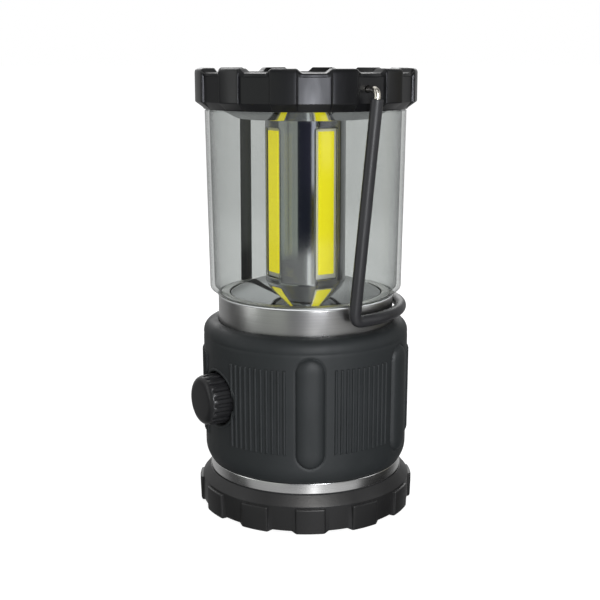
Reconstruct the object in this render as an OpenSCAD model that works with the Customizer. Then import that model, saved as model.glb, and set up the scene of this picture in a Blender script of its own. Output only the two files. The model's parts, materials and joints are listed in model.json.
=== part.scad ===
// Battery camping lantern: ribbed rubber body, clear globe, mirrored light column,
// wire bail, rotary dimmer knob and a screw-off base. Millimetres, +Z up,
// origin at the centre of the ring of feet. The knob faces -Y and the bail turns about X.

/* [Overall] */
// Height of the rim of the cap between its lugs
cap_rim_z = 208.4; // [205:0.1:212]
// Radius over the lugs of the cap
cap_lug_r = 52.1; // [51.6:0.1:54]
// Radius over the lugs of the base
base_lug_r = 52.6; // [51.8:0.1:54]
// Number of lugs on the cap and on the base
lug_count = 12; // [8:1:16]

/* [Body] */
// Outer radius of the rubber sleeve
sleeve_r = 49.4; // [48.5:0.1:50.5]
// Outer radius of the inner housing
housing_r = 45.6; // [45.2:0.1:46]
// Radius of the steel neck
neck_r = 42.15; // [41.8:0.05:42.4]
// Number of tall pads around the sleeve, the knob taking one more place
pad_places = 6; // [4:1:8]
// Fine ridges in each group between two pads
ridges_per_group = 11; // [5:2:11]

/* [Light] */
// Outer radius of the light column
column_r = 19.1; // [18.6:0.1:20]
// Number of light strips
strip_count = 4; // [2:1:4]
// Width of a light strip
strip_w = 8.2; // [5:0.1:9]
// Outer radius of the globe at its top
globe_top_r = 47.3; // [46.8:0.1:47.5]

/* [Bail] */
// Diameter of the bail's wire hooks
wire_d = 3; // [2.5:0.1:3.4]
// Diameter of the bail's black bow
bail_bow_d = 5.6; // [5:0.1:5.6]
// Height of the bail's pivot
pivot_z = 201.7; // [201:0.1:202.5]

/* [Knob] */
// Radius of the knob
knob_r = 12; // [10.5:0.1:12.2]
// Height of the knob's centre
knob_z = 58; // [50:0.1:64]
// Grip flutes around the knob
flute_count = 20; // [12:1:24]

/* [Cells] */
// Radius of a D cell
cell_r = 16.7; // [16:0.1:16.8]
// Height of a D cell without its nipple
cell_h = 59.5; // [58:0.1:60]

/* [Hidden] */
$fn = 96;
eps = 0.02;
fit = 0.05;

// heights from the feet up
foot_gap_z = 1.1;
floor_z = 2.4;
floor_top_z = 4.6;
base_edge_z = 13.2;
base_top_z = 17.6;
band_z0 = 17.95;
band_z1 = 22.85;
skirt_z = 8;
shoulder_z = 87.2;
neck_z0 = 91.1;
neck_z1 = 103.6;
deck_z = 98;
deck_t = 2.4;
ring_z = 104.6;
cone_top_z = 110.2;
column_top_z = 187.3;
cap_skirt_z = 191.9;
spigot_z = 197.5;
cap_plate_z = 203.4;
cap_recess_z = 206.9;
lug_top_z = cap_rim_z + 2;

// radii
skirt_r = housing_r - 0.6;
housing_wall = 2.4;
base_bore_r = skirt_r + 0.3;
base_gap_r = base_lug_r - 1.5;
cap_gap_r = cap_lug_r - 1.3;
flat_dist = cap_gap_r - 0.45;
globe_wall = 2.1;
globe_low_r = globe_top_r - 1.25;
spigot_r = 46;
core_flat = 16.2;
core_r = 17.6;
core_bore_r = 8.5;
reflector_flat_r = 32;
dish_r0 = column_r + 0.1;
dish_r1 = 36.2;
dish_fall = 6;
dish_t = 1.2;
board_t = 1;
strip_t = 0.9;
screw_r = 1.5;
head_r = 2.8;
head_h = 1.6;

// battery pack
tube_wall = 1.2;
tube_bore_r = cell_r + 0.35;
cell_ring_r = (tube_bore_r + 0.6) * 2 / sqrt(3);
cell_z = 12.6;
cradle_z0 = 9.6;
cradle_z1 = cell_z + cell_h + 1.6;
pcb_z = cradle_z1 + 2.6;
pcb_t = 1.6;
pcb_r = 39.5;
board_screw_r = 35.2;
carrier_r = 42.2;
carrier_t = 2.4;
key_w = 5;
key_top_z = 17;

// lug and pad angles
lug_step = 360 / lug_count;
cap_lug_w = 13.5;
cap_turn = 1.8;
base_lug_w = 15.5;
pad_step = 360 / pad_places;
pad_proud = 2.1;
pad_half_w = 6.45;
pad_z0 = 31.2;
pad_z1 = 82.7;
ridge_z0 = 37.3;
ridge_z1 = 77.3;
ridge_w = 1.45;
ridge_step = 3.25;
ridge_proud = 0.8;
knob_angle = -90;

// knob, along -Y
knob_back = 47.6;
knob_front = 58.5;
flute_r = 0.9;
recess_r = 12.9;
lip_r = 13.8;
lip_y = 48.9;
boss_y = 46.6;
shaft_r = 3;
bushing_r = 4.4;

// bail
hole_in_r = 44.4;
leg_top_r = 57.5;
bow_z = 98.5;
bow_r = 48.85;
bow_y = -3.6;
bow_reach = 1.6;
bow_top = 4;
hook_in = 12;
corner_extra = 0.1;

// points of an arc about (cx, cy) from angle a0 to a1
function arc(cx, cy, r, a0, a1, n = 8) =
    [for (i = [0:n]) [cx + r * cos(a0 + (a1 - a0) * i / n), cy + r * sin(a0 + (a1 - a0) * i / n)]];
function unit(v) = v / norm(v);
// a point of the domed lower reflector, from its inner edge (0) to its outer edge (1)
function dish_point(t) =
    [dish_r0 + t * (dish_r1 - dish_r0), cone_top_z - dish_fall * (0.42 * t + 0.58 * t * t)];

// repeats its children n times around Z
module around(n, start = 0) {
    for (i = [0:n - 1])
        rotate([0, 0, start + i * 360 / n])
            children();
}

// a ring between two radii
module ring(r_out, r_in, z0, z1) {
    translate([0, 0, z0])
        difference() {
            cylinder(r = r_out, h = z1 - z0);
            translate([0, 0, -1])
                cylinder(r = r_in, h = z1 - z0 + 2);
        }
}

// a sector of a turned profile, centred on the X axis
module sector(width) {
    rotate([0, 0, -width / 2])
        rotate_extrude(angle = width)
            children();
}

// points a solid drawn along +Z at the knob's side, out along -Y from the given distance
module at_knob(y) {
    translate([0, -y, knob_z])
        rotate([90, 0, 0])
            children();
}

// a pan-head screw, head up, with its seat at z = 0
module screw(length, shank = screw_r) {
    difference() {
        cylinder(r = head_r, h = head_h);
        translate([0, 0, head_h - 0.7])
            cylinder(r = 1.3, h = 1, $fn = 6);
    }
    translate([0, 0, -length])
        cylinder(r = shank, h = length + eps);
}

// ---------------------------------------------------------------- housing

module housing_profile() {
    inner = housing_r - housing_wall;
    neck_out = neck_r - 1.1;
    polygon([
        [inner - 0.6, skirt_z], [skirt_r, skirt_z], [skirt_r, band_z0], [housing_r, band_z0],
        [housing_r, shoulder_z - 2], [neck_out, shoulder_z + 2], [neck_out, neck_z1 - 0.8],
        [neck_out - 2.4, neck_z1 - 0.8], [neck_out - 2.4, deck_z + deck_t], [0, deck_z + deck_t],
        [0, deck_z], [neck_out - 2.4, deck_z], [neck_out - 2.4, shoulder_z + 0.6],
        [inner, shoulder_z - 3.4], [inner, band_z0 + 1], [inner - 0.6, band_z0]
    ]);
}

module housing() {
    color("dimgray")
        difference() {
            union() {
                rotate_extrude()
                    housing_profile();
                at_knob(41)
                    cylinder(r = 12.4, h = boss_y - 41);
            }
            at_knob(30)
                cylinder(r = bushing_r + 0.05, h = 20);
            // key slots that the contact carrier slides in
            around(3, 30)
                translate([skirt_r - 4, -key_w / 2 - 0.2, skirt_z - 1])
                    cube([3.2, key_w + 0.4, key_top_z + 1.4 - skirt_z]);
            translate([0, 0, deck_z - 1])
                cylinder(r = core_bore_r - 2, h = deck_t + 2);
            around(4, 45)
                translate([13, 0, deck_z - 1])
                    cylinder(r = screw_r + fit, h = deck_t + 2);
        }
}

module sleeve_profile() {
    polygon(concat(
        [[housing_r + 0.05, band_z1 + 0.1], [sleeve_r - 2.6, band_z1 + 0.1]],
        arc(sleeve_r - 12.2, 30.5, 12.1, -37, 0, 8),
        [[sleeve_r + 0.1, 60], [sleeve_r + 0.2, shoulder_z - 1.2]],
        arc(sleeve_r - 4.9, neck_z0 - 5, 5, 5, 84, 8),
        [[neck_r + 0.4, neck_z0 + 0.3], [neck_r + 0.1, neck_z0 + 0.1],
         [neck_r + 0.1, shoulder_z + 2.4], [housing_r + 0.05, shoulder_z - 1.8]]
    ));
}

// a tall pad with domed ends: a capsule sunk into the sleeve
module pad() {
    sag = pad_proud + sleeve_r * (1 - cos(asin(pad_half_w / sleeve_r)));
    r = (pad_half_w * pad_half_w + sag * sag) / (2 * sag);
    half_h = (pad_z1 - pad_z0) / 2 - pad_half_w;
    translate([sleeve_r + pad_proud - r, 0, (pad_z0 + pad_z1) / 2])
        rotate_extrude()
            polygon(concat(
                [[0, -half_h - r]],
                arc(0, -half_h, r, -80, 0, 9),
                arc(0, half_h, r, 0, 80, 9),
                [[0, half_h + r]]
            ));
}

module rubber_sleeve() {
    color([0.16, 0.17, 0.18])
        difference() {
            union() {
                rotate_extrude()
                    sleeve_profile();
                difference() {
                    for (i = [1:pad_places - 1])
                        rotate([0, 0, knob_angle + i * pad_step])
                            pad();
                    cylinder(r = housing_r + 1, h = neck_z0);
                }
                for (g = [0:pad_places - 1], k = [0:ridges_per_group - 1])
                    rotate([0, 0, knob_angle + (g + 0.5) * pad_step
                            + (k - (ridges_per_group - 1) / 2) * ridge_step])
                        translate([sleeve_r - 1, -ridge_w / 2, ridge_z0])
                            cube([1 + ridge_proud, ridge_w, ridge_z1 - ridge_z0]);
            }
            translate([0, 0, band_z1 - 1])
                cylinder(r = housing_r + 0.05, h = shoulder_z - band_z1 - 0.8);
            at_knob(40)
                cylinder(r = recess_r, h = 20);
            at_knob(lip_y)
                cylinder(r = lip_r, h = 20);
        }
}

// ---------------------------------------------------------------- metal rings

module neck_ring() {
    color("silver")
        rotate_extrude()
            polygon([
                [neck_r - 1.05, neck_z0 - 1.8], [neck_r, neck_z0 - 1.8], [neck_r, neck_z1 - 0.3],
                [neck_r - 0.3, neck_z1], [neck_r - 3.4, neck_z1], [neck_r - 3.4, neck_z1 - 0.75],
                [neck_r - 1.05, neck_z1 - 0.75]
            ]);
}

module lower_band() {
    color("silver")
        ring(sleeve_r - 2.5, housing_r + 0.05, band_z0, band_z1);
}

// ---------------------------------------------------------------- globe and seals

module globe() {
    low_in = globe_low_r - globe_wall;
    top_in = globe_top_r - globe_wall;
    color([0.8, 0.85, 0.88, 0.35])
        rotate_extrude()
            polygon([
                [41.3, neck_z1 + 0.6], [42.5, neck_z1 + 0.6], [42.5, neck_z1 + 1.1],
                [globe_low_r, 107.3], [globe_top_r, cap_skirt_z - 0.8],
                [globe_top_r - 0.2, cap_skirt_z - 0.3], [spigot_r, cap_skirt_z - 0.1],
                [spigot_r, spigot_z], [spigot_r - globe_wall, spigot_z],
                [spigot_r - globe_wall, 193], [top_in, 190.4], [low_in, 108.2], [41.3, 105.6]
            ]);
}

module globe_seal() {
    color("black")
        ring(42.4, 41.4, neck_z1 + eps, neck_z1 + 0.6 - eps);
}

module cap_seal() {
    color("black")
        ring(spigot_r - 0.1, spigot_r - globe_wall + 0.1, spigot_z + 0.02, spigot_z + 0.9);
}

// ---------------------------------------------------------------- cap

module cap_profile() {
    polygon(concat(
        [[spigot_r + 0.15, cap_skirt_z], [47.7, cap_skirt_z], [48, cap_skirt_z + 0.5],
         [cap_gap_r, 195.2], [cap_gap_r, 207]],
        arc(cap_gap_r - 1.4, 207, 1.4, 0, 90, 4),
        [[44.6, cap_rim_z], [43.6, cap_recess_z], [0, cap_recess_z], [0, cap_plate_z],
         [42.6, cap_plate_z], [42.6, spigot_z + 0.95], [spigot_r + 0.15, spigot_z + 0.95]]
    ));
}

module cap_lug_profile() {
    polygon(concat(
        [[47.2, cap_skirt_z + 0.7], [48.2, cap_skirt_z + 0.7], [cap_lug_r, 195.7]],
        arc(cap_lug_r - 3, lug_top_z - 3, 3, 0, 90, 6),
        [[45.2, lug_top_z], [44.2, cap_rim_z - 0.6]]
    ));
}

module top_cap() {
    color([0.13, 0.13, 0.14])
        difference() {
            union() {
                difference() {
                    rotate_extrude()
                        cap_profile();
                    around(lug_count, cap_turn)
                        translate([flat_dist, -cap_gap_r * sin(cap_lug_w / 2) - 0.8, 195.6])
                            cube([3, 2 * (cap_gap_r * sin(cap_lug_w / 2) + 0.8), 11.2]);
                }
                around(lug_count, lug_step / 2 + cap_turn)
                    sector(cap_lug_w)
                        cap_lug_profile();
            }
            around(2)
                translate([hole_in_r, 0, pivot_z])
                    rotate([0, 90, 0])
                        cylinder(r = wire_d / 2 + fit, h = 12);
            around(4, 45)
                translate([13, 0, cap_plate_z - 1]) {
                    cylinder(r = screw_r + fit, h = 6);
                    translate([0, 0, 1 + cap_recess_z - cap_plate_z - head_h - 0.1])
                        cylinder(r = head_r + 0.3, h = 4);
                }
        }
}

module cap_cover() {
    color([0.17, 0.17, 0.18])
        translate([0, 0, cap_recess_z])
            rotate_extrude()
                polygon(concat([[0, 0], [43, 0]], arc(42, 0.2, 1, 0, 90, 4), [[0, 1.2]]));
}

module cap_screws() {
    color("silver")
        around(4, 45)
            translate([13, 0, cap_recess_z - head_h - 0.1])
                screw(12);
}

// ---------------------------------------------------------------- light column

module upper_reflector() {
    color("gainsboro")
        rotate_extrude()
            polygon([
                [18, column_top_z + 0.05], [reflector_flat_r, column_top_z + 0.05],
                [43.4, 193.2], [43.4, 196], [42.4, 196], [42.4, 194],
                [reflector_flat_r - 0.2, column_top_z + 1.2], [18, column_top_z + 1.2]
            ]);
}

module lower_reflector() {
    color("gainsboro")
        rotate_extrude()
            polygon(concat(
                [for (i = [0:8]) dish_point(i / 8)],
                [[36.7, 104.3], [36.7, ring_z], [40.9, ring_z], [40.9, neck_z1 + 0.05],
                 [dish_r1 - 0.8, neck_z1 + 0.05]],
                [for (i = [6:-1:0]) dish_point(i / 8) - [0, dish_t]]
            ));
}

module led_column() {
    window_z0 = 112.4;
    window_z1 = 183.6;
    window_w = 12.6;
    color("silver")
        difference() {
            ring(column_r, core_r + 0.15, deck_z + deck_t + eps, column_top_z);
            around(strip_count)
                translate([core_flat, -window_w / 2, window_z0])
                    cube([6, window_w, window_z1 - window_z0]);
        }
}

module heat_sink() {
    color("lightgray")
        difference() {
            intersection() {
                translate([-core_flat, -core_flat, deck_z + deck_t])
                    cube([2 * core_flat, 2 * core_flat, cap_plate_z - deck_z - deck_t]);
                cylinder(r = core_r, h = 300);
            }
            translate([0, 0, deck_z])
                cylinder(r = core_bore_r, h = 120);
            around(4, 45)
                translate([13, 0, deck_z])
                    cylinder(r = screw_r + fit, h = 120);
        }
}

module cob_boards() {
    color("white")
        around(strip_count)
            translate([core_flat + eps, -5.9, 113])
                cube([board_t, 11.8, 70]);
}

module cob_phosphor() {
    color("yellow")
        around(strip_count)
            translate([core_flat + eps + board_t, -strip_w / 2, 115.3])
                cube([strip_t, strip_w, 66.6]);
}

module column_screws() {
    color("silver")
        around(4, 45)
            translate([13, 0, deck_z])
                mirror([0, 0, 1])
                    screw(10);
}

// ---------------------------------------------------------------- battery pack

module battery_cradle() {
    color("dimgray")
        difference() {
            union() {
                around(3, 90)
                    translate([cell_ring_r, 0, cradle_z0])
                        cylinder(r = tube_bore_r + tube_wall, h = cradle_z1 - cradle_z0);
                ring(42.9, 37, cradle_z1 - 4, cradle_z1 - 0.4);
                ring(42.9, 37, band_z0 + 2, band_z0 + 5);
                around(3, 30)
                    translate([board_screw_r, 0, cradle_z1 - 3.6])
                        cylinder(r = 3.6, h = pcb_z - cradle_z1 + 3.6 - eps);
            }
            around(3, 90)
                translate([cell_ring_r, 0, cradle_z0 - 1])
                    cylinder(r = tube_bore_r, h = cradle_z1);
            around(3, 30)
                translate([board_screw_r, 0, cradle_z1 - 3])
                    cylinder(r = screw_r + fit, h = 20);
            rotate([0, 0, 60])
                translate([42.3, -3.3, cradle_z0 - 1])
                    cube([2, 6.6, cradle_z1]);
        }
}

module battery_cells() {
    color("goldenrod")
        around(3, 90)
            translate([cell_ring_r, 0, cell_z])
                rotate_extrude()
                    polygon(concat(
                        [[0, 0]],
                        arc(cell_r - 1, 1, 1, -90, 0, 4),
                        arc(cell_r - 1, cell_h - 1, 1, 0, 90, 4),
                        [[4.7, cell_h], [4.7, cell_h + 1.5], [0, cell_h + 1.5]]
                    ));
}

module cell_contacts() {
    color("gold")
        around(3, 90)
            translate([cell_ring_r, 0, cell_z + cell_h + 1.55])
                cylinder(r = 6, h = pcb_z - cell_z - cell_h - 1.6);
}

module driver_board() {
    color("darkgreen")
        difference() {
            translate([0, 0, pcb_z])
                cylinder(r = pcb_r, h = pcb_t);
            around(3, 30)
                translate([board_screw_r, 0, pcb_z - 1])
                    cylinder(r = screw_r + fit, h = 4);
        }
}

module driver_parts() {
    top = pcb_z + pcb_t + eps;
    color("gray") {
        translate([14, 6, top])
            ring(8, 3.5, 0, 6);
        translate([-14, 8, top])
            cylinder(r = 5, h = 7);
        translate([-12, -10, top])
            cylinder(r = 4, h = 7);
        translate([8, -16, top])
            cube([6, 5, 1.7]);
        translate([-4, 18, top])
            cube([8, 6, 2.4]);
    }
}

module board_screws() {
    color("silver")
        around(3, 30)
            translate([board_screw_r, 0, pcb_z + pcb_t])
                screw(pcb_t + 3);
}

module bus_strip() {
    color("gold")
        rotate([0, 0, 60])
            translate([42.5, -3, band_z0 + 1.5])
                cube([0.5, 6, pcb_z - band_z0 - 1.5]);
}

module lead_wires() {
    wire_r = 0.9;
    color("red")
        for (x = [-3, 3])
            translate([x, 0, pcb_z + pcb_t + eps])
                cylinder(r = wire_r, h = 150 - pcb_z);
}

// ---------------------------------------------------------------- rotary switch

module switch_body() {
    color("gray")
        difference() {
            union() {
                at_knob(31.4)
                    cylinder(r = 8, h = 9.5);
                at_knob(39)
                    cylinder(r = bushing_r, h = 10.5);
            }
            at_knob(32)
                cylinder(r = shaft_r + fit, h = 20);
        }
}

module switch_nut() {
    color("silver")
        difference() {
            at_knob(boss_y + 0.05)
                cylinder(r = 7, h = 2, $fn = 6);
            at_knob(boss_y - 1)
                cylinder(r = bushing_r + fit, h = 5);
        }
}

module knob_seal() {
    color("black")
        difference() {
            at_knob(boss_y + 0.02)
                cylinder(r = 11, h = 0.6);
            at_knob(boss_y - 1)
                cylinder(r = 9, h = 3);
        }
}

module knob() {
    depth = knob_front - knob_back;
    color([0.1, 0.1, 0.11])
        difference() {
            at_knob(knob_back)
                rotate_extrude()
                    polygon(concat(
                        [[0, 0], [knob_r - 0.5, 0], [knob_r, 0.5]],
                        arc(knob_r - 3, depth - 3.2, 3, 0, 80, 7),
                        [[0, depth]]
                    ));
            at_knob(knob_back)
                around(flute_count)
                    translate([knob_r + 0.35, 0, -1])
                        cylinder(r = flute_r, h = depth - 2.6);
            at_knob(knob_back - 1)
                cylinder(r = 8.2, h = 5);
            at_knob(knob_back - 1)
                cylinder(r = shaft_r + 0.02, h = depth - 1.4);
        }
}

module knob_shaft() {
    color("silver")
        at_knob(33)
            cylinder(r = shaft_r, h = knob_front - 2.6 - 33);
}

// ---------------------------------------------------------------- base

module base_gasket() {
    color("black")
        ring(46.6, skirt_r + 0.1, band_z0 - 1.2, band_z0 - 0.02);
}

module contact_carrier() {
    color("dimgray")
        difference() {
            union() {
                translate([0, 0, floor_top_z + 0.2])
                    cylinder(r = carrier_r, h = carrier_t);
                around(3, 30)
                    intersection() {
                        translate([skirt_r - 3.8, -key_w / 2, floor_top_z + 0.6])
                            cube([3.3, key_w, key_top_z - floor_top_z - 0.6]);
                        cylinder(r = skirt_r - 1, h = 40);
                    }
            }
            translate([0, 0, floor_z])
                cylinder(r = screw_r + 0.02, h = 12);
        }
}

module base_contacts() {
    plate_z = floor_top_z + 0.2 + carrier_t;
    spring_top = cell_z - 0.3;
    color("gold")
        around(3, 90)
            translate([cell_ring_r, 0, plate_z + eps]) {
                cylinder(r = 10, h = 0.6);
                difference() {
                    cylinder(r1 = 8, r2 = 4.5, h = spring_top - plate_z - eps);
                    translate([0, 0, 0.6])
                        cylinder(r1 = 6.8, r2 = 3.3, h = spring_top - plate_z);
                }
            }
}

module pivot_screw() {
    color("silver")
        translate([0, 0, floor_z - 0.1])
            mirror([0, 0, 1])
                screw(floor_top_z + carrier_t - floor_z - 0.4);
}

module base_profile() {
    polygon([
        [0, floor_z], [40, floor_z], [44, 0], [48, 0], [48.6, foot_gap_z],
        [base_gap_r - 1.2, foot_gap_z], [base_gap_r - 0.3, foot_gap_z + 1.2],
        [base_gap_r, base_edge_z - 0.8], [base_gap_r - 0.3, base_edge_z], [47.3, base_top_z],
        [46.85, base_top_z], [46.85, band_z0 - 1.3], [base_bore_r, band_z0 - 1.3],
        [base_bore_r, floor_top_z], [0, floor_top_z]
    ]);
}

module base_lug_profile() {
    polygon(concat(
        [[46.4, 0]],
        arc(base_lug_r - 3.2, 2.6, 2.6, -90, -8, 6),
        [[base_lug_r, base_edge_z - 1.5], [base_lug_r - 0.6, base_edge_z - 0.9],
         [48, base_edge_z - 0.9]]
    ));
}

module base_cap() {
    color([0.15, 0.16, 0.17])
        difference() {
            union() {
                rotate_extrude()
                    base_profile();
                around(lug_count)
                    sector(base_lug_w)
                        base_lug_profile();
            }
            translate([0, 0, -1])
                cylinder(r = screw_r + fit, h = 10);
        }
}

// ---------------------------------------------------------------- bail

// how far the bow's arc runs on past its half circle at each end
bow_angle = asin(bow_reach / bow_r);

function top_corner(x) = [x * leg_top_r, 0, pivot_z];
function bow_end(x) = [x * bow_r * cos(bow_angle), bow_y - bow_reach, bow_z];
function leg_dir(x) = unit(bow_end(x) - top_corner(x));

// a straight rod from p to q
module rod(p, q, r) {
    w = unit(q - p);
    u = unit(cross(w, [0, 1, 0]));
    v = cross(w, u);
    multmatrix([
        [u[0], v[0], w[0], p[0]],
        [u[1], v[1], w[1], p[1]],
        [u[2], v[2], w[2], p[2]],
        [0, 0, 0, 1]
    ])
        cylinder(r = r, h = norm(q - p));
}

// wire hooks: pivot pin, corner, and a tail held in the end of the bow
module bail_hooks() {
    r = wire_d / 2;
    color("silver")
        for (x = [-1, 1]) {
            rod([x * (hole_in_r + 0.6), 0, pivot_z], top_corner(x), r);
            translate(top_corner(x))
                sphere(r = r + corner_extra);
            rod(top_corner(x), top_corner(x) + (bow_top + hook_in) * leg_dir(x), r);
        }
}

// the black bow: two legs and the arc that wraps the neck
module bail_bow() {
    r = bail_bow_d / 2;
    color([0.13, 0.13, 0.14])
        difference() {
            union() {
                for (x = [-1, 1]) {
                    rod(top_corner(x) + bow_top * leg_dir(x), bow_end(x), r);
                    translate(bow_end(x))
                        sphere(r = r + corner_extra);
                }
                translate([0, bow_y, bow_z])
                    rotate([0, 0, -bow_angle])
                        rotate_extrude(angle = 180 + 2 * bow_angle)
                            translate([bow_r, 0])
                                circle(r = r);
            }
            for (x = [-1, 1])
                rod(
                    top_corner(x) + (bow_top - 2) * leg_dir(x),
                    top_corner(x) + (bow_top + hook_in + 0.2) * leg_dir(x),
                    wire_d / 2 + 0.02
                );
        }
}

housing();
rubber_sleeve();
neck_ring();
lower_band();
globe();
globe_seal();
cap_seal();
top_cap();
cap_cover();
cap_screws();
upper_reflector();
lower_reflector();
led_column();
heat_sink();
cob_boards();
cob_phosphor();
column_screws();
battery_cradle();
battery_cells();
cell_contacts();
driver_board();
driver_parts();
board_screws();
bus_strip();
lead_wires();
switch_body();
switch_nut();
knob_seal();
base_gasket();
bail_hooks();
bail_bow();
knob();
knob_shaft();
contact_carrier();
base_contacts();
pivot_screw();
base_cap();
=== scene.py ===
"""Looks of a battery camping lantern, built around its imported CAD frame. Metres, +Z up, knob towards -Y."""

import json
from math import acos, asin, cos, hypot, pi, radians, sin, sqrt, tan

import bmesh
import bpy
import numpy as np
from mathutils import Matrix, Vector


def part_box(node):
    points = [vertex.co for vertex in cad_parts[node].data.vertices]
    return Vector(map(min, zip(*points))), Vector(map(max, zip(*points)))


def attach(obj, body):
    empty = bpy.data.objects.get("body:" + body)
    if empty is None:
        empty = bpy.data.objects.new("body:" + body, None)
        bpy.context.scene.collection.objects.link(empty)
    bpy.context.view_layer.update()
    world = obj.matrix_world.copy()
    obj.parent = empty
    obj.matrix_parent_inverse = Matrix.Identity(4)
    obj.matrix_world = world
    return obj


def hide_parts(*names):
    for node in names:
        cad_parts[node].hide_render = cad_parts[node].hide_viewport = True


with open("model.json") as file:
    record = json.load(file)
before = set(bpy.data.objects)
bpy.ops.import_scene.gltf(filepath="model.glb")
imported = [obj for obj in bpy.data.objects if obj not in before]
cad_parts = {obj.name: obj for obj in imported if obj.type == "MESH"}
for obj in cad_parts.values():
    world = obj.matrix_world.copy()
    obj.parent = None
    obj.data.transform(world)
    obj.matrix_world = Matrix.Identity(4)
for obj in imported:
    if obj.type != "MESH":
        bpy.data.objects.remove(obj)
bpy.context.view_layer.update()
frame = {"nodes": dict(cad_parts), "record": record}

MM = 0.001
LOOK_AT_HEIGHT = 0.11  # middle of the lantern

# ------------------------------------------------------------------ camera and lights

AXIS_DISTANCE = 0.538
CAMERA_HEIGHT = 0.214
CAMERA_PITCH = 12.0
CAMERA_AZIMUTH = -32.5  # degrees from +X towards +Y, where the camera stands

scene = bpy.context.scene
scene.view_settings.view_transform = "Standard"

camera = bpy.data.objects.new("camera", bpy.data.cameras.new("camera"))
camera.data.lens = 67.78
camera.data.sensor_width = 36
camera.data.shift_x = -0.0093
camera.location = (
    AXIS_DISTANCE * cos(radians(CAMERA_AZIMUTH)),
    AXIS_DISTANCE * sin(radians(CAMERA_AZIMUTH)),
    CAMERA_HEIGHT,
)
camera.rotation_euler = (radians(90 - CAMERA_PITCH), 0, radians(90 + CAMERA_AZIMUTH))
scene.collection.objects.link(camera)
scene.camera = camera


def area_light(name, azimuth, elevation, distance, size, power, tint=(1, 1, 1)):
    """A soft box that looks at the middle of the lantern, azimuth from +X towards +Y."""
    target = Vector((0, 0, LOOK_AT_HEIGHT))
    a, e = radians(azimuth), radians(elevation)
    place = target + distance * Vector((cos(a) * cos(e), sin(a) * cos(e), sin(e)))
    data = bpy.data.lights.new(name, "AREA")
    data.shape = "RECTANGLE"
    data.size, data.size_y = size
    data.energy = power
    data.color = tint
    light = bpy.data.objects.new(name, data)
    light.location = place
    light.rotation_euler = (target - place).to_track_quat("-Z", "Y").to_euler()
    scene.collection.objects.link(light)
    return light


LIGHT_AWAY = 0.9
main_light = area_light(
    "soft_main", CAMERA_AZIMUTH + 19, 17, LIGHT_AWAY, (0.17, 0.5), 4.6, (0.97, 0.98, 1.0))
front_light = area_light(
    "soft_front", CAMERA_AZIMUTH + 8, 2, LIGHT_AWAY, (0.14, 0.3), 2.6, (0.96, 0.98, 1.0))
room_lights = [
    area_light("soft_left", CAMERA_AZIMUTH - 75, 14, LIGHT_AWAY, (0.3, 0.8), 1.0),
    area_light("soft_right", CAMERA_AZIMUTH + 80, 18, LIGHT_AWAY, (0.3, 0.8), 0.9),
    area_light("soft_top", CAMERA_AZIMUTH + 6, 56, LIGHT_AWAY, (0.5, 0.3), 0.5),
    area_light("soft_back", CAMERA_AZIMUTH + 180, 25, 1.0, (0.8, 0.5), 2.5),
]
cap_light = area_light(
    "soft_cap", CAMERA_AZIMUTH + 9, 1, LIGHT_AWAY, (0.08, 0.14), 2.4, (0.90, 0.92, 1.0))
base_light = area_light(
    "soft_base", CAMERA_AZIMUTH + 12, 44, LIGHT_AWAY, (0.2, 0.3), 4.6, (1.0, 0.98, 0.95))

# ------------------------------------------------------------------ materials


class Shader:
    """A material and short ways to add its nodes."""

    def __init__(self, name):
        self.material = bpy.data.materials.new(name)
        self.material.use_nodes = True
        self.tree = self.material.node_tree
        self.bsdf = self.tree.nodes["Principled BSDF"]
        self.coords = self.node("ShaderNodeTexCoord").outputs["Object"]

    def node(self, kind, settings=(), **values):
        n = self.tree.nodes.new(kind)
        for key, value in dict(settings).items():
            setattr(n, key, value)
        for key, value in values.items():
            socket = n.inputs[int(key[1:])] if key[1:].isdigit() else n.inputs[key.replace("_", " ")]
            if isinstance(value, bpy.types.NodeSocket):
                self.link(value, socket)
            else:
                socket.default_value = value
        return n

    def link(self, out, socket):
        self.tree.links.new(out, socket)

    def set(self, **values):
        for key, value in values.items():
            socket = self.bsdf.inputs[key.replace("_", " ")]
            if isinstance(value, bpy.types.NodeSocket):
                self.link(value, socket)
            else:
                socket.default_value = value

    def stretched(self, scale):
        """Object coordinates scaled along each axis."""
        mapping = self.node("ShaderNodeMapping", i3=scale)
        self.link(self.coords, mapping.inputs["Vector"])
        return mapping.outputs["Vector"]

    def noise(self, scale, detail=3.0, vector=None, roughness=0.55):
        n = self.node("ShaderNodeTexNoise", Scale=scale, Detail=detail, Roughness=roughness)
        self.link(vector or self.coords, n.inputs["Vector"])
        return n.outputs["Fac"]

    def spread(self, value, low, high, from_low=0.3, from_high=0.7):
        n = self.node("ShaderNodeMapRange", i1=from_low, i2=from_high, i3=low, i4=high)
        self.link(value, n.inputs["Value"])
        return n.outputs["Result"]

    def blend(self, factor, one, other):
        n = self.node("ShaderNodeMix", {"data_type": "RGBA"})
        self.link(factor, n.inputs["Factor"])
        for socket, value in ((n.inputs[6], one), (n.inputs[7], other)):
            if isinstance(value, bpy.types.NodeSocket):
                self.link(value, socket)
            else:
                socket.default_value = (*value, 1)
        return n.outputs[2]

    def bump(self, height, distance, strength=1.0, normal=None):
        n = self.node("ShaderNodeBump", Strength=strength, Distance=distance)
        self.link(height, n.inputs["Height"])
        if normal:
            self.link(normal, n.inputs["Normal"])
        return n.outputs["Normal"]


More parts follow.
